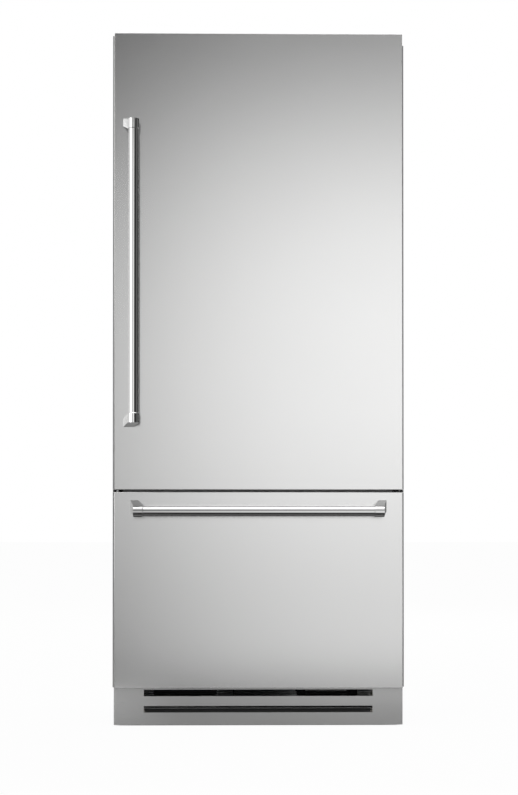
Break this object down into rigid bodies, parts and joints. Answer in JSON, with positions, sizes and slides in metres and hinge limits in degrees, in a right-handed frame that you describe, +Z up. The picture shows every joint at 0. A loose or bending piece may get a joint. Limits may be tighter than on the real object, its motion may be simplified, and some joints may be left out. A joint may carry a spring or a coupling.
{
  "type": "refrigerator",
  "caption": "Tall built-in refrigerator with a stainless front: hinged upper door, lower freezer drawer, bar handles and a slotted toe kick.",
  "frame": {"origin": "on the floor, under the middle of the box round the whole object, handles included", "axes": "+Z up, +X to the right as seen from the front, +Y to the back, so the door faces -Y"},
  "size_m": [0.9, 0.677, 2.134],
  "materials": {
    "stainless": "satin",
    "kick_steel": "satin",
    "chrome": "polished",
    "front_steel": "satin",
    "grey_paint": "satin",
    "galvanised": "matte",
    "zinc": "satin",
    "foam": "matte",
    "core_edge": "satin",
    "white_liner": "satin",
    "gasket_rubber": "matte",
    "black_plastic": "matte",
    "clear_plastic": "gloss",
    "shelf_pane": "gloss",
    "shelf_trim": "satin",
    "white_paint": "satin",
    "light_lens": "satin",
    "console": "gloss",
    "slide_steel": "satin",
    "coil": "satin",
    "fan_plastic": "matte",
    "cover_plastic": "satin",
    "compressor_paint": "satin",
    "foot_rubber": "matte",
    "copper": "satin",
    "foot_steel": "satin",
    "roller_plastic": "matte",
    "bush_plastic": "satin"
  },
  "bodies": {
    "cabinet": {"toe_kick": "kick_steel", "front_frame": "front_steel", "cabinet_wrapper": "grey_paint", "back_panel": "galvanised", "bottom_plate": "galvanised", "base_tray": "galvanised", "rear_cover": "galvanised", "roller_brackets": "galvanised", "upper_hinge": "zinc", "lower_hinge": "zinc", "hinge_blank": "zinc", "rear_cover_screws": "zinc", "insulation": "foam", "fridge_liner": "white_liner", "freezer_liner": "white_liner", "air_duct": "white_liner", "kick_louvre": "black_plastic", "power_inlet": "black_plastic", "fan_shroud": "black_plastic", "drain_pan": "black_plastic", "crispers": "clear_plastic", "shelf_glass": "shelf_pane", "shelf_frames": "shelf_trim", "crisper_deck": "shelf_trim", "shelf_uprights": "white_paint", "light_strips": "light_lens", "control_panel": "console", "control_box": "console", "slide_outer": "slide_steel", "evaporator": "coil", "condenser": "coil", "evaporator_cover": "cover_plastic", "compressor": "compressor_paint", "compressor_grommets": "foot_rubber", "discharge_tube": "copper"},
    "door": {"door_skin": "stainless", "door_core": "core_edge", "door_gasket": "gasket_rubber", "door_liner": "white_liner", "door_bins": "clear_plastic", "door_handle_bar": "chrome", "door_handle_brackets": "chrome", "hinge_bushes": "bush_plastic"},
    "drawer": {"drawer_skin": "stainless", "drawer_core": "core_edge", "drawer_gasket": "gasket_rubber", "drawer_liner": "white_liner", "drawer_handle_bar": "chrome", "drawer_handle_brackets": "chrome", "slide_inner": "slide_steel", "side_arms": "slide_steel", "freezer_bin": "clear_plastic"},
    "tray": {"freezer_tray": "clear_plastic"},
    "slides": {"slide_middle": "slide_steel"},
    "foot_left": {"foot_left": "foot_steel"},
    "foot_right": {"foot_right": "foot_steel"},
    "roller_left": {"roller_left": "roller_plastic"},
    "roller_right": {"roller_right": "roller_plastic"},
    "evaporator_fan": {"evaporator_fan": "fan_plastic"},
    "condenser_fan": {"condenser_fan": "fan_plastic"}
  },
  "joints": [
    {"name": "door_hinge", "type": "hinge", "parent": "cabinet", "child": "door", "pos_m": [0.432, -0.22248, 1.432], "axis": [0, 0, 1], "range_deg": [0, 110]},
    {"name": "drawer_slide", "type": "slide", "parent": "cabinet", "child": "drawer", "axis": [0, -1, 0], "range_m": [0, 0.4]},
    {"name": "middle_slide", "type": "slide", "parent": "cabinet", "child": "slides", "axis": [0, -1, 0], "range_m": [0, 0.2]},
    {"name": "tray_slide", "type": "slide", "parent": "drawer", "child": "tray", "axis": [0, -1, 0], "range_m": [0, 0.16]},
    {"name": "foot_left_screw", "type": "slide", "parent": "cabinet", "child": "foot_left", "axis": [0, 0, -1], "range_m": [0, 0.019]},
    {"name": "foot_right_screw", "type": "slide", "parent": "cabinet", "child": "foot_right", "axis": [0, 0, -1], "range_m": [0, 0.019]},
    {"name": "roller_left_spin", "type": "hinge", "parent": "cabinet", "child": "roller_left", "pos_m": [-0.36, 0.28852, 0.022], "axis": [1, 0, 0], "continuous": true},
    {"name": "roller_right_spin", "type": "hinge", "parent": "cabinet", "child": "roller_right", "pos_m": [0.36, 0.28852, 0.022], "axis": [1, 0, 0], "continuous": true},
    {"name": "evaporator_fan_spin", "type": "hinge", "parent": "cabinet", "child": "evaporator_fan", "pos_m": [0, 0.22853, 0.629], "axis": [0, 1, 0], "continuous": true},
    {"name": "condenser_fan_spin", "type": "hinge", "parent": "cabinet", "child": "condenser_fan", "pos_m": [-0.06, 0.23183, 0.1553], "axis": [1, 0, 0], "continuous": true}
  ],
  "couplings": [
    {"joint": "middle_slide", "follows": "drawer_slide", "ratio": 0.5}
  ]
}
